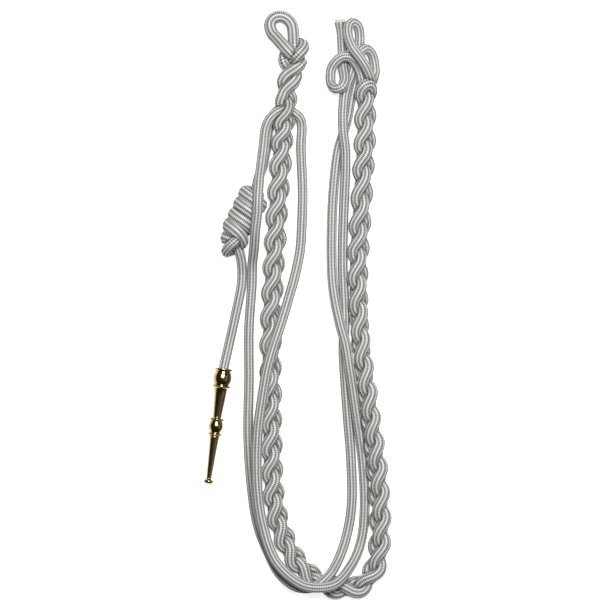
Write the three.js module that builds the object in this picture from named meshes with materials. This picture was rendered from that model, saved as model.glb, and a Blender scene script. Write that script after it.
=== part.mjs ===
// A white shoulder aiguillette lying flat: a three-strand plait, two loose cords, a knotted
// cord with a turned brass tip, a button loop and three end loops.
// Millimetres, +X to the right, +Y towards the button loop, +Z up from the surface.
import * as THREE from 'three';

// Cord
const cordDiameter = 6;
const endGap = 0.3; // between two cord ends that meet face to face
const cordSides = 8;

// Plait
const plaitPitch = 45; // one strand's way from side to side and back
const strandDiameter = 3.7; // a strand where the plait draws it tight
const plaitHalfWidth = 3.8; // how far a strand swings across the plait
const plaitHalfDepth = 4.2; // how far it swings through the plait
const endSpread = 1.55; // the plait opens by this much at both of its ends
const spreadLength = 24;
const plaitStep = 4.3; // along the plait, between two sections of a strand
const turnSamples = 36; // places tested round a swing for the lowest one
const spineDivisions = 800;

// Knot
const wrapRadius = 6.8; // from the middle of the tag cord to the middle of a wrap
const wrapPitch = 8.1;
const wrapCount = 4;
const wrapSteps = 11;
const coreShares = [0, 0.3, 0.6, 0.85]; // where the tag cord is held on the knot's axis
const knotTop = [-25.6, 64.3];
const knotLean = 24.5; // degrees between the knot's axis and the plait's long axis

// Brass tip
const tipTop = [-44.5, -38.3];
const tipLean = 7.45; // degrees between the tip's axis and the plait's long axis
const tipSides = 12;
const socketDepth = 9;
const socketClearance = 0.3;
const tipWall = 1.3;
const bulbRadius = 5.1;
const bulbLength = 8.6;
const lowerBulbRadius = 4.1;
const lowerBulbLength = 7.4;
const upperShaft = { length: 18.1, top: 3.9, foot: 2.6 };
const lowerShaft = { length: 26.3, top: 2.9, foot: 1.6 };
const flangeRadius = 5;
const ringRadius = 3.9;
const ringWidth = 1.2;
const footRadius = 2.6;
const footLength = 2.7;
const footFlare = 0.4;
const bulbEnds = 0.94; // a bulb's radius at its ends, as a share of its widest radius
const bulbCurve = 0.3; // the rounded length at each end, as a share of the whole bulb

// Colours
const white = { color: 0xe9e9e4, roughness: 0.62, metalness: 0 };
const brass = { color: 0xc9a04a, roughness: 0.22, metalness: 1 };

// Routes. Each row is across, along and the height of the middle in cord diameters,
// so that 0.5 lies on the surface. The plait's route has no height of its own.
const plaitRoute = [
  [-4, 155], [-5.8, 141], [-7.5, 127.5], [-8.5, 116.5], [-9, 98.5], [-10.5, 79.5], [-12, 59.5],
  [-13.5, 35.5], [-15, 8.5], [-16, -15.5], [-16, -51.5], [-15.5, -82.5], [-14.5, -108.5],
  [-11.5, -126], [-6.5, -139.5], [-0.5, -151], [7.5, -161], [15, -166.5], [24, -169.5],
  [33, -169], [41, -163.5], [46.5, -154.5], [49, -142], [49.5, -124], [47.5, -96.5],
  [43, -66.5], [38.5, -30.5], [36.8, -9.5], [36, 20.5], [38, 59.5], [40, 92.5], [40.5, 116.5],
  [41, 129.5],
];
const outerCordRoute = [
  [-18.6, 113.5, 1.65], [-20.5, 104.5, 1.6], [-20.7, 95, 1.6], [-21.5, 84, 2.2], [-22.6, 74, 3.2],
  [-23.3, 64, 3.75], [-23.8, 53.5, 3.55], [-24.6, 44, 3.2], [-25, 36, 2.4], [-26.5, 24, 0.9],
  [-27.2, 12.5, 0.5], [-29, -15, 0.5], [-29, -44.5, 0.5], [-29.5, -79, 0.5], [-27.5, -109, 0.5],
  [-24, -131.5, 0.5], [-18, -147.5, 0.6], [-10.5, -161, 1.2], [0.5, -168.5, 2.3],
  [10.5, -167.5, 2.8], [18.5, -161.5, 2.5], [25.5, -150, 1.1], [30.5, -133.5, 0.5],
  [32, -117.5, 0.5], [30.8, -94.5, 0.5], [25.5, -57.5, 0.5], [25.8, -27.5, 0.5], [27.5, -10, 0.5],
  [27, 26.5, 0.5], [27.8, 60, 0.75], [28.6, 80, 1.2], [28.5, 92.5, 1.45], [27.3, 102.5, 1.65],
  [27, 112.5, 1.6], [27.4, 119, 1.5], [27.9, 125.5, 1.35],
];
const innerCordRoute = [
  [2, 111.5, 0.8], [2.3, 104, 0.5], [2, 95, 0.5], [3, 67.5, 0.5], [2.5, 47.5, 0.5],
  [1.5, 32.5, 0.55], [-1.5, 17.5, 0.95], [-5.5, 3, 1.8], [-10, -12, 2.6], [-14, -24, 2.85],
  [-17.5, -36, 2.9], [-20.5, -54.5, 2.75], [-22.8, -79, 2.4], [-22.5, -109, 2.3],
  [-17.5, -131.5, 2.3], [-9.5, -153, 2.9], [3, -164.5, 3.75], [13.5, -167.5, 3.95],
  [22.5, -165.5, 3.2], [33, -154, 1.3], [38, -142, 0.5], [39.5, -123.5, 0.5], [37.4, -94.5, 0.5],
  [31.7, -58, 1.04], [28.2, -36, 1.6], [27, -24, 1.6], [24, -10, 1.5], [21.5, 8, 1],
  [20.3, 26.5, 0.5], [21.2, 65, 0.5], [24.3, 92.5, 0.5], [27.4, 102.5, 0.5], [30, 112.5, 0.5],
  [31.3, 124, 0.5],
];
const tagCordToKnot = [
  [-17.8, 112.5, 0.5], [-18.2, 103.5, 0.5], [-19, 91.5, 0.5], [-21, 82, 0.55], [-23.5, 75.5, 1],
  [-24.6, 70, 1.45],
];
const tagCordFromKnot = [
  [-38.7, 34.2, 1.6], [-38, 30, 1.65], [-36, 25.5, 1.45], [-34.4, 20, 0.8],
  [-33.9, 12.5, 0.5], [-35.5, 2, 0.5], [-38.5, -12, 0.5], [-41.5, -25.5, 0.55],
];
const collarRoute = [
  [-38.9, 32.3, 2.77], [-42, 30, 2.6], [-44.6, 28, 1.9], [-44.8, 27.4, 1.25], [-42.4, 28, 0.6],
  [-38.4, 28.6, 0.5],
];
const buttonLoopRoute = [
  [-14, 161.8, 1.1], [-16, 164.6, 0.75], [-17, 167.6, 0.5], [-16.3, 170.5, 0.5],
  [-12.5, 173.1, 0.5], [-7.6, 172.3, 0.5], [-3.6, 169, 0.5], [-2.2, 164.5, 0.5],
  [-3, 159.5, 0.5],
];
const upperLoopRoute = [
  [40, 136.5, 2.5], [37.3, 143.5, 2.5], [34, 149.5, 2.45], [32.2, 155, 2.1], [31.6, 161, 1.6],
  [32, 166, 1.3], [34.4, 169, 1.1], [37.2, 167.5, 0.8], [38, 163, 0.55], [38, 158, 0.5],
];
const rightLoopRoute = [
  [46.5, 136.2, 1.4], [47.8, 139.8, 1], [47.5, 145, 0.7], [45.5, 150, 0.5], [42.3, 152.2, 0.5],
  [38.6, 150.2, 0.5],
];
const leftLoopRoute = [
  [39.6, 136.5, 0.9], [36.3, 142.5, 1.05], [32, 147, 1.45], [27.5, 148, 1.65], [22.5, 146, 1.6],
  [20, 140.5, 1.5], [19.5, 134.5, 1.7], [22, 129.5, 2.2], [25.8, 129, 2.5], [28.6, 134, 2.25],
  [29.3, 139, 1.5], [28.3, 144, 0.65], [27.3, 148.5, 0.5], [26.5, 158.5, 0.5], [26.2, 170.5, 0.5],
];

// How the plait lies along its length: how far it is turned about its own axis, in degrees,
// and how far its first strand is ahead of an even pitch, in whole swings.
const plaitLay = [
  { along: 0, turn: 48, ahead: 0.013 },
  { along: 0.36, turn: 48, ahead: 0.013 },
  { along: 0.52, turn: 48, ahead: 0.163 },
  { along: 0.7, turn: 48, ahead: 0.163 },
  { along: 0.87, turn: 132, ahead: 0.15 },
  { along: 0.93, turn: 132, ahead: 0.05 },
  { along: 1, turn: 132, ahead: 0.05 },
];

const radians = THREE.MathUtils.degToRad;
const atLevel = ([x, y, level]) => new THREE.Vector3(x, y, level * cordDiameter);

// A smooth curve through its points, sampled evenly between them, that stays on the surface.
class Route extends THREE.CatmullRomCurve3 {
  getPoint(share, target) {
    const point = super.getPoint(share, target);
    point.z = Math.max(point.z, cordDiameter / 2);
    return point;
  }

  getPointAt(u, target) {
    return this.getPoint(u, target);
  }

  getTangentAt(u, target) {
    return this.getTangent(u, target);
  }
}

function layAt(share) {
  const next = Math.max(1, plaitLay.findIndex((row) => row.along >= share));
  const [from, to] = [plaitLay[next - 1], plaitLay[next]];
  const mix = THREE.MathUtils.smoothstep(share, from.along, to.along);
  return {
    turn: radians(THREE.MathUtils.lerp(from.turn, to.turn, mix)),
    ahead: THREE.MathUtils.lerp(from.ahead, to.ahead, mix),
  };
}

// A strand's place across and above the plait's axis.
function swing(phase, turn, spread) {
  const across = spread * plaitHalfWidth * Math.sin(phase);
  const deep = spread * plaitHalfDepth * Math.sin(2 * phase);
  return {
    side: -(across * Math.cos(turn) - deep * Math.sin(turn)),
    up: across * Math.sin(turn) + deep * Math.cos(turn),
  };
}

// The furthest that a strand reaches below the axis, so that the plait lies on the surface.
function reachBelow(turn, spread) {
  let lowest = 0;
  for (let sample = 0; sample < turnSamples; sample++) {
    lowest = Math.min(lowest, swing((2 * Math.PI * sample) / turnSamples, turn, spread).up);
  }
  return strandDiameter / 2 / Math.cos(Math.PI / cordSides) - lowest;
}

const spine = new THREE.CatmullRomCurve3(plaitRoute.map(([x, y]) => new THREE.Vector3(x, y, 0)));
spine.arcLengthDivisions = spineDivisions;
const plaitLength = spine.getLength();

class PlaitStrand extends THREE.Curve {
  constructor(index) {
    super();
    this.index = index;
  }

  getPoint(share) {
    const along = share * plaitLength;
    const fromEnd = Math.min(along, plaitLength - along);
    const open = 1 - THREE.MathUtils.smoothstep(fromEnd, 0, spreadLength);
    const spread = 1 + (endSpread - 1) * open;
    const { turn, ahead } = layAt(share);
    const phase = 2 * Math.PI * (along / plaitPitch + ahead + this.index / 3);
    const { side, up } = swing(phase, turn, spread);
    const forward = spine.getTangentAt(share);
    const point = spine.getPointAt(share);
    point.x += -forward.y * side;
    point.y += forward.x * side;
    point.z = reachBelow(turn, spread) + up;
    return point;
  }

  getPointAt(u) {
    return this.getPoint(u);
  }

  getTangentAt(u, target) {
    return this.getTangent(u, target);
  }
}

// A round cord along a curve. The section's flat sides, not its corners, are a radius out.
function cordMesh(name, curve, steps, diameter = cordDiameter) {
  const corner = diameter / 2 / Math.cos(Math.PI / cordSides);
  const section = new THREE.Shape();
  for (let side = 0; side < cordSides; side++) {
    const angle = (2 * Math.PI * (side + 0.5)) / cordSides;
    section[side ? 'lineTo' : 'moveTo'](corner * Math.cos(angle), corner * Math.sin(angle));
  }
  const geometry = new THREE.ExtrudeGeometry(section, { steps, extrudePath: curve });
  const mesh = new THREE.Mesh(geometry, new THREE.MeshStandardMaterial(white));
  mesh.name = name;
  return mesh;
}

const route = (rows) => new Route(rows.map(atLevel));

// Where a loop meets the end of a strand: clear of its end face, on the way to the next point,
// and further out the more the cord turns there.
function meet(strand, atStart, next) {
  const share = atStart ? 0 : 1;
  const end = strand.getPoint(share);
  const out = strand.getTangent(share).multiplyScalar(atStart ? -1 : 1);
  const way = next.clone().sub(end).normalize().add(out).normalize();
  return end.addScaledVector(way, endGap + cordDiameter * Math.tan(way.angleTo(out)));
}

const strands = [0, 1, 2].map((index) => new PlaitStrand(index));
const plaitSteps = Math.round(plaitLength / plaitStep);
const plait = strands.map((strand, index) =>
  cordMesh(`plait_strand_${index + 1}`, strand, plaitSteps, strandDiameter));

function buttonLoop() {
  const points = buttonLoopRoute.map(atLevel);
  const left = meet(strands[1], true, points[0]);
  const right = meet(strands[0], true, points.at(-1));
  return cordMesh('button_loop', new Route([left, ...points, right]), 18);
}

function endLoop(name, strand, rows, steps) {
  const points = rows.map(atLevel);
  return cordMesh(name, new Route([meet(strand, false, points[0]), ...points]), steps);
}

const knotHeight = wrapRadius + cordDiameter / 2;
const knotAhead = new THREE.Vector3(-Math.sin(radians(knotLean)), -Math.cos(radians(knotLean)), 0);
const knotRight = new THREE.Vector3(-knotAhead.y, knotAhead.x, 0);

function knotPoint(along, across, up) {
  return new THREE.Vector3(...knotTop, knotHeight + up)
    .addScaledVector(knotAhead, along)
    .addScaledVector(knotRight, across);
}

class Wraps extends THREE.Curve {
  getPoint(share) {
    const angle = 2 * Math.PI * wrapCount * share;
    const across = -wrapRadius * Math.cos(angle);
    return knotPoint(wrapPitch * wrapCount * share, across, wrapRadius * Math.sin(angle));
  }
}

const tipAhead = new THREE.Vector3(-Math.sin(radians(tipLean)), -Math.cos(radians(tipLean)), 0);
const socketRadius = cordDiameter / 2 / Math.cos(Math.PI / cordSides) + socketClearance;

function tagCord() {
  const inKnot = coreShares.map((share) => knotPoint(wrapPitch * wrapCount * share, 0, 0));
  const mouth = new THREE.Vector3(...tipTop, bulbRadius);
  const points = [
    ...tagCordToKnot.map(atLevel),
    ...inKnot,
    ...tagCordFromKnot.map(atLevel),
    mouth,
    mouth.clone().addScaledVector(tipAhead, socketDepth - endGap),
  ];
  return cordMesh('tag_cord', new Route(points), 36);
}

function tip() {
  const rim = socketRadius + tipWall;
  const profile = [[0, socketDepth], [socketRadius, socketDepth], [socketRadius, 0], [rim, 0]];
  let along = ringWidth;
  const to = (radius, length) => {
    along += length;
    profile.push([radius, along]);
  };
  const bulb = (radius, length, neck) => {
    to(radius * bulbEnds, 0);
    to(radius, length * bulbCurve);
    to(radius, length * (1 - 2 * bulbCurve));
    to(radius * bulbEnds, length * bulbCurve);
    to(neck, ringWidth / 2);
  };
  const ring = (radius) => {
    to(radius, 0);
    to(radius, ringWidth);
  };
  profile.push([rim, along]);
  bulb(bulbRadius, bulbLength, upperShaft.top);
  ring(flangeRadius);
  to(upperShaft.top, 0);
  to(upperShaft.foot, upperShaft.length);
  ring(ringRadius);
  bulb(lowerBulbRadius, lowerBulbLength, ringRadius);
  ring(ringRadius);
  to(lowerShaft.top, 0);
  to(lowerShaft.foot, lowerShaft.length);
  to(footRadius, footFlare);
  to(footRadius, footLength);
  profile.push([0, along]);
  const geometry = new THREE.LatheGeometry(
    profile.map(([radius, at]) => new THREE.Vector2(radius, at)), tipSides);
  const mesh = new THREE.Mesh(geometry, new THREE.MeshStandardMaterial(brass));
  mesh.name = 'tag';
  mesh.position.set(...tipTop, bulbRadius);
  mesh.quaternion.setFromUnitVectors(new THREE.Vector3(0, 1, 0), tipAhead);
  return mesh;
}

const aiguillette = new THREE.Group();
aiguillette.add(
  buttonLoop(),
  ...plait,
  cordMesh('long_cord_outer', route(outerCordRoute), 48),
  cordMesh('long_cord_inner', route(innerCordRoute), 46),
  tagCord(),
  cordMesh('knot_coil', new Wraps(), wrapCount * wrapSteps),
  cordMesh('knot_collar', route(collarRoute), 9),
  tip(),
  endLoop('end_loop_upper', strands[2], upperLoopRoute, 16),
  endLoop('end_loop_right', strands[1], rightLoopRoute, 12),
  endLoop('end_loop_left', strands[0], leftLoopRoute, 24),
);

// The origin is below the middle of the outline, on the surface.
const outline = new THREE.Box3().setFromObject(aiguillette, true);
const middle = outline.getCenter(new THREE.Vector3());
aiguillette.position.set(-middle.x, -middle.y, -outline.min.z);

export default aiguillette;
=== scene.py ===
import math

import bpy
import numpy as np
from mathutils import Matrix, Vector
from mathutils.kdtree import KDTree


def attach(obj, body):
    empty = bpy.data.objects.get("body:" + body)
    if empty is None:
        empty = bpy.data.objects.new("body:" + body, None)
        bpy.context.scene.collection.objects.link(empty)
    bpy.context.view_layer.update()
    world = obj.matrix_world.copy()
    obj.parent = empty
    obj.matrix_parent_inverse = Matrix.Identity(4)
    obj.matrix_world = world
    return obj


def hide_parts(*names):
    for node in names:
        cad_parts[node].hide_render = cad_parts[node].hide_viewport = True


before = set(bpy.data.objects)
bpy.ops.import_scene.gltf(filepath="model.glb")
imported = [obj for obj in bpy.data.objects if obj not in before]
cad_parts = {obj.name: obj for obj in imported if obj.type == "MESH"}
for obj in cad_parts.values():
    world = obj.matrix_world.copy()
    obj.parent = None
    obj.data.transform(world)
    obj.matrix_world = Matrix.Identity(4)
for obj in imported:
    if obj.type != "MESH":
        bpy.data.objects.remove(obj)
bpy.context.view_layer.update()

mm = 0.001
up = np.array([0, 0, 1.0])

# Camera, floor and light.
studio = {
    "photoWidth": 360 * mm,       # what the photograph's 600 pixels cover
    "photoMiddle": (1.46, 2.29),  # mm, in the frame
    "height": 1.5,
    "sight": 20,                  # how far the camera sees
    "floorSize": 6.0,
    "floorColour": (0.9, 0.9, 0.89, 1),
    "floorGlow": 0.9,
    "floorRoughness": 0.9,
    "floorSpecular": 0.1,
    "lamps": {
        # place, size across and along, power
        "key": ((0.13, 0.48, 1.4), (0.7, 0.7), 27),
        "rightFill": ((1.2, -0.2, 0.9), (1.3, 1.3), 1.6),
    },
    "sky": (0.62, 0.64, 0.66, 1),
    "skyStrength": 0.04,
}


def makeStudio(s):
    scene = bpy.context.scene
    scene.view_settings.view_transform = "Standard"
    camera = bpy.data.objects.new("photoCamera", bpy.data.cameras.new("photoCamera"))
    scene.collection.objects.link(camera)
    camera.location = (s["photoMiddle"][0] * mm, s["photoMiddle"][1] * mm, s["height"])
    camera.data.lens = camera.data.sensor_width * s["height"] / s["photoWidth"]
    camera.data.clip_end = s["sight"]
    scene.camera = camera

    edge = s["floorSize"] / 2
    corners = [(-edge, -edge, 0), (edge, -edge, 0), (edge, edge, 0), (-edge, edge, 0)]
    floorMesh = bpy.data.meshes.new("floor")
    floorMesh.from_pydata(corners, [], [(0, 1, 2, 3)])
    floor = bpy.data.objects.new("floor", floorMesh)
    scene.collection.objects.link(floor)
    paper = bpy.data.materials.new("floorPaper")
    paper.use_nodes = True
    shader = paper.node_tree.nodes["Principled BSDF"]
    shader.inputs["Base Color"].default_value = s["floorColour"]
    shader.inputs["Roughness"].default_value = s["floorRoughness"]
    shader.inputs["Specular IOR Level"].default_value = s["floorSpecular"]
    shader.inputs["Emission Color"].default_value = s["floorColour"]
    shader.inputs["Emission Strength"].default_value = s["floorGlow"]
    floorMesh.materials.append(paper)
    floor.visible_diffuse = False

    for name, (place, size, power) in s["lamps"].items():
        lamp = bpy.data.lights.new(name, "AREA")
        lamp.energy = power
        lamp.shape = "RECTANGLE"
        lamp.size, lamp.size_y = size
        light = bpy.data.objects.new(name, lamp)
        light.location = place
        light.rotation_euler = (-light.location).to_track_quat("-Z", "Y").to_euler()
        scene.collection.objects.link(light)
    world = bpy.data.worlds.new("studio")
    world.use_nodes = True
    background = world.node_tree.nodes["Background"]
    background.inputs["Color"].default_value = s["sky"]
    background.inputs["Strength"].default_value = s["skyStrength"]
    scene.world = world


makeStudio(studio)
print("studio ready")

# Sizes of the cord.
cordSize = {
    "diameter": 6 * mm,
    "strandDiameter": 7 * mm,     # a strand of the plait, before it is pressed
    "ribs": 9,
    "columns": 4,                 # faces across one rib
    "stitch": 0.86 * mm,          # two rings of the mesh
    "ribHeight": 0.17 * mm,
    "ladderHeight": 0.09 * mm,
    "gap": 0.02 * mm,             # left between two pressed cords
    # The painted crease shade reaches this far from another cord.
    "creaseShade": 1.7 * mm,           # how near to another cord the skin starts to darken
    "neckSwell": 0.1,             # how much fatter the strands are below the button loop
    "neckFrom": 127 * mm,         # where that starts, and where it is full
    "neckTo": 138 * mm,
    "loopDiameter": 6.7 * mm,
    "loopLength": 62 * mm,        # of the first run that is the slimmer button loop
    "loopEase": 10 * mm,
    "flare": 0.22,                # how much the cut end spreads
    "flareLength": 5 * mm,
    "samples": 24,                # places on a route between two of its points
    "joinedSamples": 8,           # the same where a plaited strand is part of it
    "curveStep": 0.3 * mm,        # from point to point of the curve that a cord follows
    "pathRings": 6,               # rings from point to point of a free cord's path
}
cordRadius = cordSize["diameter"] / 2
strandRadius = cordSize["strandDiameter"] / 2
ringStep = cordSize["stitch"] / 2

# How far the routes are moved to lie in the shared frame.
frameShift = np.array([0.039, -0.23, 0]) * mm

# Each point of a route has its place across and along, in mm, and the height of the cord's middle in
# cord diameters. The plait works out its own heights.
plaitRoute = [
    (-2, 155), (-2.9, 145), (-4.8, 136), (-6.4, 127.5), (-7.2, 118), (-8.4, 106), (-9.4, 95),
    (-10.5, 79.5), (-12, 59.5), (-13.5, 35.5), (-15, 8.5), (-16, -15.5), (-16, -51.5), (-15.5, -82.5),
    (-14.8, -108.5), (-12.4, -126), (-8.2, -139.5), (-2.4, -151), (6.2, -161), (15, -167),
    (24, -169.5), (34.2, -169.6), (42.3, -164), (47.2, -154.8), (49, -142), (49.2, -124),
    (47.1, -96.5), (43, -66.5), (38.5, -30.5), (36.8, -9.5), (36, 20.5), (38, 59.5), (40, 92.5),
    (40.5, 116.5), (41, 129.5),
]
outerRoute = [
    (-6.5, 117.5, 1.3), (-10, 115.6, 1.5), (-14, 113.2, 1.62), (-17.2, 109.6, 1.66),
    (-19.1, 104.5, 1.62), (-20.2, 95, 1.6), (-21.5, 84, 2.2), (-22.6, 74, 3.1), (-23.3, 64, 3.6),
    (-23.8, 53.5, 3.5), (-24.9, 44, 3.15), (-25.5, 36, 2.4), (-26.9, 24, 0.9), (-27.2, 12.5, 0.5),
    (-29, -15, 0.5), (-29, -44.5, 0.5), (-29.5, -79, 0.5), (-27.5, -109, 0.5), (-24, -131.5, 0.5),
    (-18, -147.5, 0.6), (-10.5, -161, 1.2), (0.5, -168.5, 2.3), (10.5, -167.5, 2.8),
    (18.5, -161.5, 2.5), (25.5, -150, 1.1), (30.5, -133.5, 0.5), (32.5, -117.5, 0.5),
    (32.1, -94.5, 0.5), (29.3, -57.5, 0.5), (27.5, -27.5, 0.5), (28.2, -10, 0.5), (27, 26.5, 0.5),
    (27.8, 60, 0.75), (28.6, 80, 1.2), (28.5, 92.5, 1.45), (27.3, 102.5, 1.65), (27, 112.5, 1.6),
    (27.4, 119, 1.5), (28.2, 125.5, 1.35), (29.8, 131.5, 1.2), (31.7, 136.8, 1), (32.5, 141, 0.8),
    (31.2, 145, 0.55),
]
innerRoute = [
    (-6, 117, 1), (-2, 114.4, 0.9), (1.4, 111.2, 0.75), (2.5, 106, 0.5), (2, 95, 0.5),
    (3, 67.5, 0.5), (2.5, 47.5, 0.5), (1.5, 32.5, 0.55), (-1.5, 17.5, 0.95), (-5.5, 3, 1.8),
    (-10, -12, 2.5), (-14, -24, 2.75), (-17.5, -36, 2.8), (-20.9, -54.5, 2.6), (-23.9, -79, 2.3),
    (-23.9, -109, 2.2), (-20.6, -131.5, 2.2), (-12.6, -153, 2.7), (2.5, -165.8, 3.55),
    (13.5, -167.5, 3.85), (22.5, -165.5, 3.1), (33, -154, 1.3), (38, -142, 0.5), (40.1, -123.5, 0.5),
    (39, -94.5, 0.5), (34, -58, 1.1), (30.6, -36, 1.55), (28.7, -24, 1.55), (24.9, -10, 1.5),
    (21.5, 8, 1), (20.3, 26.5, 0.5), (21.2, 65, 0.5), (24.3, 92.5, 0.5), (27.4, 102.5, 0.5),
    (30, 112.5, 0.5), (31.9, 124, 0.5), (33.4, 131, 0.5), (34.8, 137, 0.6), (35.9, 141.5, 0.6),
]
tagRouteToKnot = [
    (-7, 118.5, 0.7), (-12, 116, 0.55), (-15.6, 111.5, 0.5), (-17.4, 104, 0.5), (-19, 91.5, 0.5),
    (-21, 82, 0.55), (-23.3, 75.5, 1), (-24.9, 68, 1.5),
]
tagRouteFromKnot = [
    (-36, 35, 1.5), (-34.7, 31.2, 1.3), (-33.8, 27.6, 1.05), (-33.3, 23.5, 0.8), (-33.1, 18.5, 0.55),
    (-33.6, 11, 0.5), (-35.5, 1, 0.5), (-38.3, -12, 0.5), (-41.3, -25.5, 0.55),
]
collarRoute = [
    (-33.4, 40.5, 1.7), (-35.6, 38.9, 2.35), (-38.6, 36.3, 2.65), (-41.2, 33.7, 2.35),
    (-42.5, 31.9, 1.65), (-42.1, 31.2, 1), (-39.6, 32, 0.6), (-36.4, 33.6, 0.5),
]
buttonRoute = [
    (-2.3, 150, 1.05), (-2.3, 153.5, 1.3), (-2.4, 157.3, 1), (-2.7, 162.6, 0.6), (-3.4, 166.9, 0.55),
    (-6.2, 170.7, 0.55), (-10.6, 172.3, 0.55), (-14.8, 170.7, 0.55), (-16.4, 167, 0.55),
    (-14.9, 162.1, 0.7), (-12.1, 158.6, 1.15), (-9.5, 155.5, 1.6),
]
leftLegRoute = [
    (-6.9, 152.2, 1.95), (-4.2, 149.3, 1.95), (-1.3, 147, 1.35), (2.1, 144.9, 1.2), (1.3, 142.5, 1.6),
    (-1.6, 140.2, 1.62),
]
hookRoute = [
    (-1.9, 152.4, 0.5), (-0.3, 154.9, 0.5), (2, 155.9, 0.75), (3.6, 154.2, 1.25), (2.8, 151.2, 1.9),
    (0.6, 148.7, 2.1), (-1.8, 146.4, 1.7), (-3.8, 144.5, 1.05), (-5, 142.4, 0.7), (-4.2, 139.8, 0.8),
]
rightLegRoute = [
    (-2.8, 149.5, 1), (-5.2, 149.3, 0.95), (-7.6, 147.9, 1.1), (-7.7, 145.1, 1.3), (-5.6, 142, 1.15),
    (-2.4, 139, 0.9), (-0.9, 136, 1.2), (-2.2, 133, 1.42), (-5.2, 130.2, 1.5), (-7.9, 127.2, 1.45),
]
capRoute = [
    (37.5, 126.4, 1.55), (39.4, 129.8, 1.8), (42.2, 131, 1.65), (43.9, 129.2, 1.25), (43.3, 125.9, 0.85),
]
upperLoopRoute = [
    (43.9, 129.8, 0.9), (43.4, 134.8, 1.4), (41.1, 140.2, 1.9), (37.3, 146.3, 2.15), (32.8, 152.5, 2.05),
    (30.4, 159, 1.7), (30, 163.8, 1.4), (30.8, 166.9, 1.2), (33.3, 168.4, 1), (36, 166.6, 0.8),
    (37.1, 162.8, 0.6), (37.3, 159, 0.5), (37.1, 155.1, 0.5), (36, 151.7, 0.5), (34.8, 148.6, 0.5),
]
rightLoopRoute = [
    (35.2, 147.6, 1.2), (36.7, 149.5, 1.3), (38.7, 151.6, 1.25), (40.9, 152.7, 1.1), (43.5, 151, 0.85),
    (45.4, 147.1, 0.6), (46.2, 142.5, 0.55), (46.4, 138.7, 0.6), (45.5, 134.8, 0.75), (44, 131.4, 0.8),
]
leftLoopRoute = [
    (39.5, 130.5, 0.9), (38.4, 133.8, 0.95), (37.5, 137.4, 1), (36, 141.2, 1.1), (33.7, 145, 1.35),
    (30.3, 147.6, 1.6), (26.1, 147.2, 1.6), (22.6, 144.6, 1.5), (20.3, 140.8, 1.3), (19.6, 136, 1.3),
    (20.2, 131, 1.6), (22.9, 128.2, 2.2), (26, 128.9, 2.4), (27.7, 132, 2.15), (27.6, 136.4, 1.6),
    (26.9, 141.2, 1), (27, 145.4, 0.6), (26.8, 148.8, 0.5), (26.8, 152, 0.5), (26.5, 159.6, 0.52),
    (25.9, 165.6, 0.62), (25.6, 168.9, 0.7),
]


def atLevel(rows):
    return np.array([(x * mm, y * mm, level * cordSize["diameter"]) for x, y, level in rows])


def alongOf(path):
    return np.concatenate([[0], np.cumsum(np.linalg.norm(np.diff(path, axis=0), axis=1))])


# A centripetal Catmull-Rom curve, the same that the solids follow.
def smooth(points, samples=cordSize["samples"], tiny=1e-9):
    line = np.vstack([2 * points[0] - points[1], points, 2 * points[-1] - points[-2]])
    gaps = np.maximum(np.linalg.norm(np.diff(line, axis=0), axis=1), tiny) ** 0.5
    share = (np.arange(samples) / samples)[:, None]
    spans = []
    for n in range(len(points) - 1):
        before, start, end, after = line[n:n + 4]
        g0, g1, g2 = gaps[n:n + 3]
        leave = ((start - before) / g0 - (end - before) / (g0 + g1) + (end - start) / g1) * g1
        arrive = ((end - start) / g1 - (after - start) / (g1 + g2) + (after - end) / g2) * g1
        spans.append(start + leave * share + (3 * (end - start) - 2 * leave - arrive) * share ** 2
                     + (2 * (start - end) + leave + arrive) * share ** 3)
    return np.vstack([*spans, points[-1:]])


def evenly(path, step):
    along = alongOf(path)
    places = np.linspace(0, along[-1], int(round(along[-1] / step)) + 1)
    return np.column_stack([np.interp(places, along, path[:, axis]) for axis in range(3)])


# No cord's middle comes nearer to the floor than its radius.
def cordLine(points):
    path = smooth(points)
    path[:, 2] = np.maximum(path[:, 2], cordRadius)
    return path


def joined(*parts):
    return smooth(np.vstack(parts), cordSize["joinedSamples"])


def ease(share):
    share = np.clip(share, 0, 1)
    return share * share * (3 - 2 * share)


# The plait.
plait = {
    "pitch": 45 * mm,
    # How far a strand swings, once and twice in a pitch.
    "across": (1.4 * mm, 2.35 * mm),
    "upward": (2.6 * mm, 0.3 * mm),
    "angles": 37,                 # tried in one swing, to find how low it comes
    "step": 2.5 * mm,             # from point to point of a strand
    "trim": (7, 7, 13),           # points of each strand that the given neck stands in for
    "endTrim": (0, 0, 3),         # points that the cap stands in for
    # share of the length, lean of the braid, pitches that it runs ahead
    "lay": [(0, 1, -0.41), (0.03, 1, -0.15), (0.06, 1, -0.06), (0.1, 1, 0.055), (0.2, 1, 0.055),
            (0.36, 1, -0.025), (0.52, 1, 0.12), (0.7, 1, 0.12), (0.87, -1, 0.025), (0.93, -1, -0.07),
            (1, -1, -0.07)],
}


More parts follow.
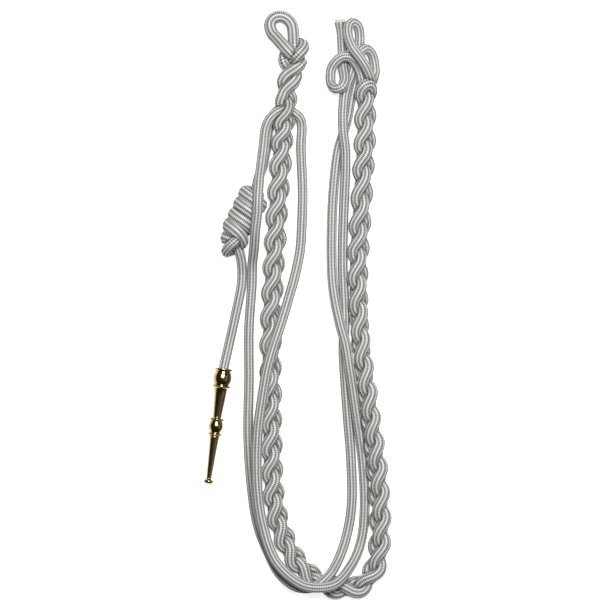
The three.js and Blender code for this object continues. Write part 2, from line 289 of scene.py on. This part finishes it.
def strandLines(p):
    spine = evenly(smooth(np.array([(x * mm, y * mm, 0) for x, y in plaitRoute])), p["step"])
    along = alongOf(spine)
    share = along / along[-1]
    ahead = np.gradient(spine, along, axis=0)
    aside = np.column_stack([-ahead[:, 1], ahead[:, 0]])
    lay = np.array(p["lay"])
    row = np.clip(np.searchsorted(lay[:, 0], share), 1, len(lay) - 1)
    mix = ease((share - lay[row - 1, 0]) / (lay[row, 0] - lay[row - 1, 0]))
    lean = lay[row - 1, 1] + mix * (lay[row, 1] - lay[row - 1, 1])
    lead = lay[row - 1, 2] + mix * (lay[row, 2] - lay[row - 1, 2])

    def swing(phase):
        once, twice = np.sin(phase), np.sin(2 * phase)
        return (p["across"][1] * twice - lean * p["across"][0] * once,
                p["upward"][0] * once + lean * p["upward"][1] * twice)

    lowest = np.min([swing(angle)[1] for angle in np.linspace(0, 2 * math.pi, p["angles"])], axis=0)
    lines = []
    for index in range(3):
        side, height = swing(2 * math.pi * (along / p["pitch"] + lead + index / 3))
        line = spine.copy()
        line[:, :2] += aside * side[:, None]
        line[:, 2] = strandRadius - lowest + height
        lines.append(line[p["trim"][index]:len(line) - p["endTrim"][index]])
    return lines


strands = strandLines(plait)

# The knot and the tip's place.
knot = {
    "top": (-26.1, 64),           # mm
    "lean": 26.2,                 # degrees
    "radius": 6.8 * mm,
    "pitch": 7.12 * mm,
    "turns": 4,
    "samples": 48,                # to a turn, about
    "shift": 0.05,                # share of the pitch that is made up below the knot, not over it
    "runOn": (0.1, 0.05),         # turns that the pitch goes on for past the first and last wrap
    "sag": 2.8 * mm,              # how much further the last wrap hangs at its right
    "sagWidth": 0.16,             # turns
    "tuck": 0.4,                  # turns that run on at each end, tucked in
    "tuckRadius": 3.9 * mm,
    "flatten": 1.42,              # how much wider a wrap is than the round cord
    "core": (0, 0.3, 0.6, 0.85),  # where the cord inside has its points, as shares of the knot
}
tip = {
    "top": (-44.1, -38.3),        # mm, the middle of the mouth
    "lean": 7.75,                 # degrees
    "socketDepth": 9 * mm,
    "socketShare": 0.95,          # how much of it the cord fills
    "bulbRadius": 5.75 * mm,
}


def aheadOf(lean):
    return np.array([-math.sin(math.radians(lean)), -math.cos(math.radians(lean)), 0])


knotAhead = aheadOf(knot["lean"])
knotRight = np.array([-knotAhead[1], knotAhead[0], 0])
knotStart = np.array([*(np.array(knot["top"]) * mm), knot["radius"] + cordRadius])
tipAhead = aheadOf(tip["lean"])
tipMouth = np.array([*(np.array(tip["top"]) * mm), tip["bulbRadius"]])


def coilLine(k):
    turn = np.linspace(-k["tuck"], k["turns"] + k["tuck"], k["samples"] * (k["turns"] + 1))
    tucked = np.maximum(-turn / k["tuck"], (turn - k["turns"] + 2 * k["tuck"]) / (3 * k["tuck"]))
    radius = k["radius"] + (k["tuckRadius"] - k["radius"]) * ease(tucked)
    angle = 2 * math.pi * turn
    wound = np.clip(turn, -k["runOn"][0], k["turns"] + k["runOn"][1])
    along = k["pitch"] * (wound - k["shift"] * (1 - np.cos(angle)) / 2)
    along += k["sag"] * np.exp(-((turn - k["turns"] + 0.5) / k["sagWidth"]) ** 2)
    return (knotStart + along[:, None] * knotAhead - (radius * np.cos(angle))[:, None] * knotRight
            + (radius * np.sin(angle))[:, None] * up)


def tagLine():
    core = [knotStart + share * knot["pitch"] * knot["turns"] * knotAhead for share in knot["core"]]
    inSocket = tipMouth + tip["socketShare"] * tip["socketDepth"] * tipAhead
    parts = [atLevel(tagRouteToKnot), core, atLevel(tagRouteFromKnot), tipMouth, inSocket]
    return cordLine(np.vstack(parts))


# A run is one length of cord, cut into named pieces afterwards. A piece has its name, the solids that
# it stands in for, and how many points of the run are its own, unless it goes on to the end.
def makeRun(line, *rows):
    return {"line": line + frameShift, "pieces": rows}


runs = {
    "left": makeRun(joined(atLevel(buttonRoute), atLevel(leftLegRoute), strands[0]),
                    ("buttonLoop", ["button_loop"], len(buttonRoute)),
                    ("plaitStrand1", ["plait_strand_1"], None)),
    "hook": makeRun(joined(atLevel(hookRoute), strands[1]),
                    ("plaitStrand2", ["plait_strand_2"], None)),
    "right": makeRun(joined(atLevel(rightLegRoute), strands[2], atLevel(capRoute)),
                     ("plaitStrand3", ["plait_strand_3"], None)),
    "upperLoop": makeRun(cordLine(atLevel(upperLoopRoute)), ("endLoopUpper", ["end_loop_upper"], None)),
    "rightLoop": makeRun(cordLine(atLevel(rightLoopRoute)), ("endLoopRight", ["end_loop_right"], None)),
    "leftLoop": makeRun(cordLine(atLevel(leftLoopRoute)), ("endLoopLeft", ["end_loop_left"], None)),
    "outer": makeRun(cordLine(atLevel(outerRoute)), ("longCordOuter", ["long_cord_outer"], None)),
    "inner": makeRun(cordLine(atLevel(innerRoute)), ("longCordInner", ["long_cord_inner"], None)),
    "tag": makeRun(tagLine(), ("tagCord", ["tag_cord"], None)),
    "coil": makeRun(coilLine(knot), ("knotCoil", ["knot_coil"], None)),
    "collar": makeRun(cordLine(atLevel(collarRoute)), ("knotCollar", ["knot_collar"], None)),
}
plaited = ("left", "hook", "right")
print("routes ready")


# A socket that sums can be written with, in the tree of a shape or of a material.
class Value:
    def __init__(self, tree, socket):
        self.tree = tree
        self.socket = socket

    def math(self, operation, a, b=0.0):
        node = self.tree.add("ShaderNodeMath", {"operation": operation}, {0: a, 1: b})
        return Value(self.tree, node.outputs[0])

    def __add__(self, other):
        return self.math("ADD", self, other)

    def __radd__(self, other):
        return self.math("ADD", other, self)

    def __sub__(self, other):
        return self.math("SUBTRACT", self, other)

    def __rsub__(self, other):
        return self.math("SUBTRACT", other, self)

    def __mul__(self, other):
        return self.math("MULTIPLY", self, other)

    def __rmul__(self, other):
        return self.math("MULTIPLY", other, self)

    def __truediv__(self, other):
        return self.math("DIVIDE", self, other)

    def __rtruediv__(self, other):
        return self.math("DIVIDE", other, self)

    def __pow__(self, other):
        return self.math("POWER", self, other)

    def __rpow__(self, other):
        return self.math("POWER", other, self)

    def root(self):
        return self.math("SQRT", self)

    def sin(self):
        return self.math("SINE", self)

    def cos(self):
        return self.math("COSINE", self)

    # Between 0 and 1, and 1 at every whole number.
    def wave(self):
        return 0.5 + 0.5 * (self * (2 * math.pi)).cos()


class NodeTree:
    def __init__(self, tree):
        self.nodes = tree.nodes
        self.links = tree.links

    def put(self, socket, value):
        if isinstance(value, Value):
            value = value.socket
        if isinstance(value, bpy.types.NodeSocket):
            self.links.new(value, socket)
        else:
            socket.default_value = value

    def add(self, kind, settings=None, values=None):
        node = self.nodes.new(kind)
        for key, value in (settings or {}).items():
            setattr(node, key, value)
        for key, value in (values or {}).items():
            self.put(node.inputs[key], value)
        return node

    def value(self, node, output=0):
        return Value(self, node.outputs[output])


class Shape(NodeTree):
    def __init__(self, name, inputs):
        self.group = bpy.data.node_groups.new(name, "GeometryNodeTree")
        super().__init__(self.group)
        for label, kind in inputs.items():
            self.group.interface.new_socket(label, in_out="INPUT", socket_type="NodeSocket" + kind)
        self.group.interface.new_socket("Shape", in_out="OUTPUT", socket_type="NodeSocketGeometry")
        group = self.add("NodeGroupInput")
        self.given = {label: self.value(group, label) for label in inputs}

    # Keeps each point's number, which the finished surface can read.
    def numbered(self, geometry):
        number = self.add("GeometryNodeInputIndex").outputs[0]
        held = self.add("GeometryNodeCaptureAttribute")
        held.capture_items.new("FLOAT", "Number")
        self.put(held.inputs["Geometry"], geometry)
        self.put(held.inputs["Number"], number)
        return held.outputs["Geometry"], self.value(held, "Number")

    def finish(self, last):
        real = self.add("GeometryNodeRealizeInstances", values={"Geometry": last.outputs[0]})
        done = self.add("GeometryNodeSetMaterial",
                        values={"Geometry": real.outputs[0], "Material": self.given["Material"]})
        self.add("NodeGroupOutput", values={"Shape": done.outputs[0]})
        return self.group


def meshFromNodes(name, path, group, values):
    curve = bpy.data.curves.new(name, "CURVE")
    curve.dimensions = "3D"
    spline = curve.splines.new("POLY")
    spline.points.add(len(path) - 1)
    spline.points.foreach_set("co", np.column_stack([path, np.ones(len(path))]).ravel())
    holder = bpy.data.objects.new(name, curve)
    bpy.context.scene.collection.objects.link(holder)
    modifier = holder.modifiers.new(name, "NODES")
    modifier.node_group = group
    for item in group.interface.items_tree:
        if item.in_out == "INPUT" and item.name in values:
            modifier[item.identifier] = values[item.name]
    depsgraph = bpy.context.evaluated_depsgraph_get()
    mesh = bpy.data.meshes.new_from_object(holder.evaluated_get(depsgraph))
    holder.modifiers.remove(modifier)
    bpy.data.objects.remove(holder)
    return mesh


# Braided cord: a tube with ribs along it and a ladder of stitches across them.
def makeCordTree():
    shape = Shape("braidedCord", {
        "Line": "Geometry", "Rings": "Int", "Radius": "Float", "Ribs": "Int", "Columns": "Int",
        "Rib Height": "Float", "Ladder Height": "Float", "Material": "Material",
    })
    given = shape.given
    resampled = shape.add("GeometryNodeResampleCurve", {"mode": "COUNT"},
                          {"Curve": given["Line"], "Count": given["Rings"]})
    circle = shape.add("GeometryNodeCurvePrimitiveCircle", {"mode": "RADIUS"},
                       {"Resolution": given["Ribs"] * given["Columns"], "Radius": given["Radius"]})
    line, ring = shape.numbered(resampled.outputs[0])
    profile, side = shape.numbered(circle.outputs[0])
    tube = shape.add("GeometryNodeCurveToMesh", values={"Curve": line, "Profile Curve": profile})
    crown = (side / given["Columns"] * (2 * math.pi)).cos()
    groove = (1 - crown) * 0.5
    rung = (ring * math.pi).cos()
    lift = crown * given["Rib Height"] + groove * rung * given["Ladder Height"]
    outward = shape.add("ShaderNodeVectorMath", {"operation": "SCALE"},
                        {0: shape.add("GeometryNodeInputNormal").outputs[0], "Scale": lift})
    return shape.finish(shape.add("GeometryNodeSetPosition",
                                  values={"Geometry": tube.outputs[0], "Offset": outward.outputs[0]}))


def cordRings(name, path, radius):
    count = int(round(alongOf(path)[-1] / ringStep)) + 1
    mesh = meshFromNodes(name, evenly(path, cordSize["curveStep"]), cordTree, {
        "Rings": count, "Radius": radius, "Ribs": cordSize["ribs"], "Columns": cordSize["columns"],
        "Rib Height": cordSize["ribHeight"], "Ladder Height": cordSize["ladderHeight"],
        "Material": cordMaterial,
    })
    places = np.empty(len(mesh.vertices) * 3)
    mesh.vertices.foreach_get("co", places)
    bpy.data.meshes.remove(mesh)
    return places.reshape(count, cordSize["ribs"] * cordSize["columns"], 3)


# Materials.
class Finish(NodeTree):
    def __init__(self, name):
        self.material = bpy.data.materials.new(name)
        self.material.use_nodes = True
        super().__init__(self.material.node_tree)
        self.place = self.add("ShaderNodeTexCoord").outputs["Object"]

    # A Mix node's colours are its sockets 6 and 7, and output 2.
    def blend(self, share, a, b):
        node = self.add("ShaderNodeMix", {"data_type": "RGBA"}, {"Factor": share, 6: a, 7: b})
        return node.outputs[2]

    def noise(self, scale, detail):
        values = {"Vector": self.place, "Scale": scale, "Detail": detail}
        return self.value(self.add("ShaderNodeTexNoise", values=values), "Fac")

    def bump(self, strength, distance, height):
        values = {"Strength": strength, "Distance": distance, "Height": height}
        return self.add("ShaderNodeBump", values=values).outputs[0]

    def set(self, values):
        for key, value in values.items():
            self.put(self.nodes["Principled BSDF"].inputs[key], value)


satin = {
    "crown": (0.87, 0.87, 0.85, 1),
    # Painted shade: the groove colour darkens the hollows between the ribs, and the gap colour paints the
    # dark ticks in the gaps between stitches.
    "groove": (0.34, 0.34, 0.315, 1),
    "gap": (0.025, 0.025, 0.022, 1),
    "cool": (0.73, 0.75, 0.76, 1),
    "warm": (0.83, 0.82, 0.78, 1),
    "cloud": (45, 3),             # scale and detail of the noise between cool and warm
    "lint": (900, 2),
    "whiteShare": 0.5,            # how much of a rib is the crown's white
    "crownTick": 0.3,             # how much of a stitch's dark tick still shows on a rib's crown
    # Painted shade: the dark colour that the skin takes in the creases where cords meet or lie close.
    "creaseShade": (0.09, 0.09, 0.075, 1),
    "creaseShadeCurve": 1.35,
    "creaseShadeShare": 0.88,
    "threads": 3,                 # slanting threads in one stitch
    "threadHeight": 0.35,
    "crownHeight": 0.5,
    "lintHeight": 0.3,
    "rungHeight": 0.9,
    "bump": 0.25,
    "bumpDistance": 0.2 * mm,
    "roughness": 0.34,
    "grooveRoughness": 0.25,      # added in the grooves
    "lintRoughness": 0.1,
    "sheen": 0.1,
    "sheenRoughness": 0.4,
    "specular": 0.6,
}


def satinCord(s):
    f = Finish("satinCord")
    uv = f.add("ShaderNodeUVMap", {"uv_map": "cordMap"})
    parts = f.add("ShaderNodeSeparateXYZ", values={0: uv.outputs[0]})
    across, along = f.value(parts, 0), f.value(parts, 1)
    crown = (across * cordSize["ribs"]).wave()
    rung = along.wave()
    # Painted shade in the stitch gaps: the ladder's dark ticks, mostly in the grooves.
    ladder = (1 - (1 - s["crownTick"]) * crown * crown) * (1 - rung)
    lint = f.noise(*s["lint"])
    white = f.blend(f.noise(*s["cloud"]), s["cool"], s["warm"])
    # Painted shade in the grooves between the ribs, with the cord's own white on the crowns.
    rib = f.blend(crown, s["groove"], f.blend(s["whiteShare"], white, s["crown"]))
    laddered = f.blend(ladder, rib, s["gap"])
    # Painted crease shade: how near the skin lies to another cord, read from the mesh.
    creaseShade = f.value(f.add("ShaderNodeAttribute", {"attribute_name": "creaseShade"}), "Fac")
    thread = (along * s["threads"] + across * (2 * cordSize["ribs"])).wave()
    height = (thread * s["threadHeight"] + crown * s["crownHeight"] + lint * s["lintHeight"]
              + rung * (1 - crown) * s["rungHeight"])
    f.set({
        "Base Color": f.blend(creaseShade ** s["creaseShadeCurve"] * s["creaseShadeShare"], laddered, s["creaseShade"]),
        "Roughness": s["roughness"] + (1 - crown) * s["grooveRoughness"] + lint * s["lintRoughness"],
        "Normal": f.bump(s["bump"], s["bumpDistance"], height),
        "Sheen Weight": s["sheen"],
        "Sheen Roughness": s["sheenRoughness"],
        "Specular IOR Level": s["specular"],
    })
    return f.material


brassLook = {
    "bright": (0.45, 0.35, 0.18, 1),
    "deep": (0.2, 0.14, 0.06, 1),
    "cloud": (120, 4),            # scale and detail of the noise between bright and deep
    "deepShare": 0.6,
    "roughness": 0.13,
    "cloudRoughness": 0.12,
    "fine": (2500, 2),
    "bump": 0.04,
    "bumpDistance": 0.05 * mm,
}


def polishedBrass(b):
    f = Finish("polishedBrass")
    cloud = f.noise(*b["cloud"])
    f.set({
        "Base Color": f.blend(cloud * b["deepShare"], b["bright"], b["deep"]),
        "Metallic": 1.0,
        "Roughness": b["roughness"] + cloud * b["cloudRoughness"],
        "Normal": f.bump(b["bump"], b["bumpDistance"], f.noise(*b["fine"])),
    })
    return f.material


cordTree = makeCordTree()
cordMaterial = satinCord(satin)
brassMaterial = polishedBrass(brassLook)
print("materials ready")


# Makes some runs other than an even round cord. off leads from a ring's middle to its skin.
def shapeRun(name, centres, off):
    along = alongOf(centres)
    if name == "coil":
        off += (knot["flatten"] - 1) * (off @ knotAhead)[:, :, None] * knotAhead
    if name in plaited:
        fromNeck = (centres[:, 1] - cordSize["neckFrom"]) / (cordSize["neckTo"] - cordSize["neckFrom"])
        inNeck = ease(fromNeck) * (centres[:, 0] < 0)
        off *= 1 + cordSize["neckSwell"] * inNeck[:, None, None]
    if name == "left":
        slim = 1 - cordSize["loopDiameter"] / cordSize["strandDiameter"]
        fromLoop = (along - cordSize["loopLength"]) / cordSize["loopEase"]
        off *= 1 - slim * (1 - ease(fromLoop))[:, None, None]
    if name == "leftLoop":
        toEnd = (along[-1] - along) / cordSize["flareLength"]
        off *= 1 + cordSize["flare"] * (1 - ease(toEnd))[:, None, None]
    return centres[:, None] + off


# Presses cords flat where they meet, and notes how near each bit of skin is to another cord, for the
# painted shade that darkens the creases.
def pressApart(cords, gap):
    owner = np.repeat(np.arange(len(cords)), [len(cord["centres"]) for cord in cords])
    ringOf = np.concatenate([np.arange(len(cord["centres"])) for cord in cords])
    centresOf = np.vstack([cord["centres"] for cord in cords])
    radiusOf = np.array([cord["radius"] for cord in cords])
    tree = KDTree(len(centresOf))
    for index, centre in enumerate(centresOf):
        tree.insert(centre, index)
    tree.balance()
    widest = radiusOf.max()
    # Rings within two widths along the same cord are its own skin.
    ownRings = 4 * widest / ringStep
    for number, cord in enumerate(cords):
        cord["creaseShade"] = np.zeros(cord["rings"].shape[:2])
        reach = cord["radius"] + widest + cordSize["creaseShade"]
        for ring, centre in enumerate(cord["centres"]):
            found = np.array([index for _, index, _ in tree.find_range(centre, reach)])
            other = found[(owner[found] != number) | (np.abs(ringOf[found] - ring) > ownRings)]
            if not len(other):
                continue
            skin = cord["rings"][ring]
            away = np.linalg.norm(centresOf[other][None] - skin[:, None], axis=2)
            away -= radiusOf[owner[other]][None]
            nearest = other[np.argmin(away, axis=1)]
            toward = centresOf[nearest] - centre
            far = np.linalg.norm(toward, axis=1)
            toward /= far[:, None]
            share = cord["radius"] / (cord["radius"] + radiusOf[owner[nearest]])
            over = np.maximum(np.sum((skin - centre) * toward, axis=1) - (far * share - gap / 2), 0)
            cord["rings"][ring] = skin - toward * over[:, None]
            # Kept for the painted crease shade: 1 where the skin touches another cord, falling to 0 at
            # the reach.
            cord["creaseShade"][ring] = np.clip(1 - away.min(axis=1) / cordSize["creaseShade"], 0, 1)
        # What lies on the floor is flat below.
        cord["rings"][:, :, 2] = np.maximum(cord["rings"][:, :, 2], 0)


for name, run in runs.items():
    run["radius"] = strandRadius if name in plaited else cordRadius
    rings = cordRings(name, run["line"], run["radius"] - cordSize["ribHeight"] / 2)
    run["centres"] = evenly(run["line"], alongOf(run["line"])[-1] / (len(rings) - 1))
    run["rings"] = shapeRun(name, run["centres"], rings - run["centres"][:, None])
print("cords made")
pressApart(list(runs.values()), cordSize["gap"])
print("cords pressed together")


# Meshes of the named pieces.
def cordMesh(name, rings, creaseShade, firstRing):
    count, sides = rings.shape[:2]
    corner = np.arange(count * sides).reshape(count, sides)
    right = np.roll(corner, -1, axis=1)
    quads = np.stack([corner[:-1], right[:-1], right[1:], corner[1:]], axis=-1).reshape(-1, 4)
    ends = [corner[0][::-1], corner[-1]]

    # The map runs once round the cord, and one unit along it is a stitch.
    u = np.arange(sides) / sides
    v = (firstRing + np.arange(count)) / 2
    uLow, vLow = np.meshgrid(u, v[:-1])
    uHigh, vHigh = np.meshgrid(u + 1 / sides, v[1:])
    quadMap = np.stack([np.stack([uLow, vLow], -1), np.stack([uHigh, vLow], -1),
                        np.stack([uHigh, vHigh], -1), np.stack([uLow, vHigh], -1)], axis=-2)
    endMap = [np.column_stack([u[::-1], np.full(sides, v[0])]),
              np.column_stack([u, np.full(sides, v[-1])])]

    vertices = rings.reshape(-1, 3)
    loops = np.concatenate([quads.ravel(), *ends])
    totals = np.concatenate([np.full(len(quads), 4), [sides, sides]])
    mesh = bpy.data.meshes.new(name)
    mesh.vertices.add(len(vertices))
    mesh.vertices.foreach_set("co", vertices.ravel())
    mesh.loops.add(len(loops))
    mesh.loops.foreach_set("vertex_index", loops.astype(np.int32))
    mesh.polygons.add(len(totals))
    mesh.polygons.foreach_set("loop_start", (np.cumsum(totals) - totals).astype(np.int32))
    mesh.polygons.foreach_set("loop_total", totals.astype(np.int32))
    mesh.update(calc_edges=True)
    layer = mesh.uv_layers.new(name="cordMap")
    layer.data.foreach_set("uv", np.vstack([quadMap.reshape(-1, 2), *endMap]).ravel())

    first, second, third = vertices[quads[:, 0]], vertices[quads[:, 1]], vertices[quads[:, 2]]
    middle = np.repeat(rings.mean(1)[:-1], sides, 0)
    if np.sum(np.cross(second - first, third - first) * (first - middle)) < 0:
        mesh.flip_normals()
    mesh.polygons.foreach_set("use_smooth", np.ones(len(totals), bool))
    # The nearness to other cords, carried to the material for the painted crease shade.
    mark = mesh.attributes.new("creaseShade", "FLOAT", "POINT")
    mark.data.foreach_set("value", creaseShade.ravel())
    mesh.materials.append(cordMaterial)
    return mesh


def showPiece(name, mesh, nodes):
    piece = bpy.data.objects.new(name, mesh)
    bpy.context.scene.collection.objects.link(piece)
    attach(piece, "root")
    if nodes:
        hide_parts(*nodes)
    return piece


pieces = {}
centreLines = {}
for run in runs.values():
    along = alongOf(run["line"])
    ringAlong = np.linspace(0, along[-1], len(run["rings"]))
    start = 0
    for name, nodes, points in run["pieces"]:
        end = len(run["rings"]) - 1
        if points is not None:
            end = int(np.searchsorted(ringAlong, along[(points - 1) * cordSize["joinedSamples"]]))
        own = slice(start, end + 1)
        mesh = cordMesh(name, run["rings"][own], run["creaseShade"][own], start)
        pieces[name] = showPiece(name, mesh, nodes)
        centreLines[name] = run["centres"][own]
        start = end
print("cord pieces shown:", len(pieces))

# The frayed end.
fray = {
    "threads": 70,
    "spread": 3 * mm,             # how far from the middle the outermost thread stands
    "thickness": 0.17 * mm,
    "taper": 0.4,                 # a thread's top, as a share of its foot
    "sides": 7,
    "length": 2.2 * mm,
    "lengthFrom": 0.5,            # the shortest thread, as a share of the length
    "lengthRange": 0.8,           # what is added to that for the longest
    "lean": 0.5,                  # radians that the outermost threads lean out, about
    "leanFrom": 0.3,              # the least of that, as a share
    "goldenAngle": 2.39996,       # radians from one thread to the next, as in a sunflower's head
    "seed": 0,
    "ringsBack": 3,               # how far back along the cord its direction is taken
}


def makeFrayTree(f):
    shape = Shape("frayedEnd", {
        "Threads": "Int", "Spread": "Float", "Thickness": "Float", "Length": "Float", "Lean": "Float",
        "Seed": "Int", "Material": "Material",
    })
    given = shape.given
    index = shape.value(shape.add("GeometryNodeInputIndex"))
    share = (index / given["Threads"]).root()
    angle = index * f["goldenAngle"]
    reach = share * given["Spread"]
    place = shape.add("ShaderNodeCombineXYZ", values={"X": angle.cos() * reach, "Y": angle.sin() * reach})
    points = shape.add("GeometryNodePoints",
                       values={"Count": given["Threads"], "Position": place.outputs[0]})
    chance = shape.value(shape.add("FunctionNodeRandomValue", {"data_type": "FLOAT"},
                                   {"Seed": given["Seed"]}), 1)
    lean = share * given["Lean"] * (chance + f["leanFrom"])
    turn = shape.add("ShaderNodeCombineXYZ", values={"Y": lean, "Z": angle})
    thread = shape.add("GeometryNodeMeshCone", values={
        "Vertices": f["sides"], "Radius Top": given["Thickness"] * f["taper"],
        "Radius Bottom": given["Thickness"], "Depth": given["Length"],
    })
    size = shape.add("ShaderNodeCombineXYZ",
                     values={"X": 1.0, "Y": 1.0, "Z": chance * f["lengthRange"] + f["lengthFrom"]})
    return shape.finish(shape.add("GeometryNodeInstanceOnPoints", values={
        "Points": points.outputs[0], "Instance": thread.outputs[0], "Rotation": turn.outputs[0],
        "Scale": size.outputs[0],
    }))


def frayedEnd(f):
    mesh = meshFromNodes("frayedEnd", np.zeros((2, 3)), makeFrayTree(f), {
        "Threads": f["threads"], "Spread": f["spread"], "Thickness": f["thickness"],
        "Length": f["length"], "Lean": f["lean"], "Seed": f["seed"], "Material": cordMaterial,
    })
    line = centreLines["endLoopLeft"]
    end = Vector(line[-1])
    ahead = Vector(line[-1] - line[-1 - f["ringsBack"]]).normalized()
    mesh.transform(Matrix.Translation(end) @ ahead.to_track_quat("Z", "Y").to_matrix().to_4x4())
    return mesh


pieces["frayedEnd"] = showPiece("frayedEnd", frayedEnd(fray), [])
print("end frayed")

# The brass tip.
tipTurning = {
    "sides": 72,
    # How far along the axis from the mouth, and the radius there, both in mm.
    "profile": [
        (9, 0.01), (9, 3.55), (0.3, 3.55), (0, 3.9), (0, 5.2), (0.15, 5.4), (0.5, 5.48), (1, 5.42),
        (1.2, 5.15), (1.35, 4.65), (1.6, 4.5), (2.1, 4.56), (3.2, 5.1), (4.6, 5.48), (6, 5.56),
        (7.4, 5.42), (8.8, 4.98), (9.6, 4.5), (9.95, 4.4), (10.15, 4.85), (10.3, 5.5), (10.6, 5.72),
        (11, 5.72), (11.35, 5.5), (11.5, 4.7), (11.7, 4.15), (12.1, 3.98), (17, 3.6), (23, 3.12),
        (29.2, 2.64), (29.7, 2.66), (29.9, 3.15), (30.05, 4), (30.3, 4.42), (30.8, 4.5), (31.25, 4.3),
        (31.4, 3.8), (31.7, 3.62), (32.4, 3.84), (33.5, 4.26), (34.8, 4.42), (36, 4.3), (37.4, 3.78),
        (38.4, 3.2), (38.75, 3.1), (38.95, 3.5), (39.15, 4.05), (39.5, 4.3), (39.95, 4.27),
        (40.25, 3.95), (40.4, 3.25), (40.6, 2.94), (40.85, 3.08), (41.2, 3.24), (41.55, 3.12),
        (41.75, 2.88), (42.1, 2.86), (48, 2.52), (56, 2.1), (66.2, 1.56), (66.8, 1.6), (67, 1.9),
        (67.1, 2.4), (67.35, 2.85), (67.9, 3.05), (68.4, 3.02), (68.9, 2.8), (69.25, 2.4), (69.5, 1.7),
        (69.55, 0.01),
    ],
}


def turnedTip(t):
    sideways = np.cross(tipAhead, up)
    angle = np.linspace(0, 2 * math.pi, t["sides"], endpoint=False)
    spokes = np.cos(angle)[:, None] * sideways + np.sin(angle)[:, None] * up
    mouth = tipMouth + frameShift
    rings = np.array([mouth + at * mm * tipAhead + radius * mm * spokes for at, radius in t["profile"]])
    count, sides = rings.shape[:2]
    corner = np.arange(count * sides).reshape(count, sides)
    right = np.roll(corner, -1, axis=1)
    faces = np.stack([corner[:-1], corner[1:], right[1:], right[:-1]], axis=-1).reshape(-1, 4).tolist()
    faces += [corner[0].tolist(), corner[-1][::-1].tolist()]
    mesh = bpy.data.meshes.new("tag")
    mesh.from_pydata(rings.reshape(-1, 3).tolist(), [], faces)
    mesh.polygons.foreach_set("use_smooth", np.ones(len(faces), bool))
    mesh.materials.append(brassMaterial)
    return mesh


pieces["brassTip"] = showPiece("brassTip", turnedTip(tipTurning), ["tag"])
print("tip turned")


# Free cords.
def declareCord(name):
    line = centreLines[name]
    [tuple(p) for p in line[::cordSize["pathRings"]]] + [tuple(line[-1])]


declareCord("longCordOuter")
declareCord("longCordInner")
declareCord("tagCord")
declareCord("endLoopLeft")

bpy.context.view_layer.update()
for name, piece in pieces.items():
    print(name, sum(len(face.vertices) - 2 for face in piece.data.polygons))
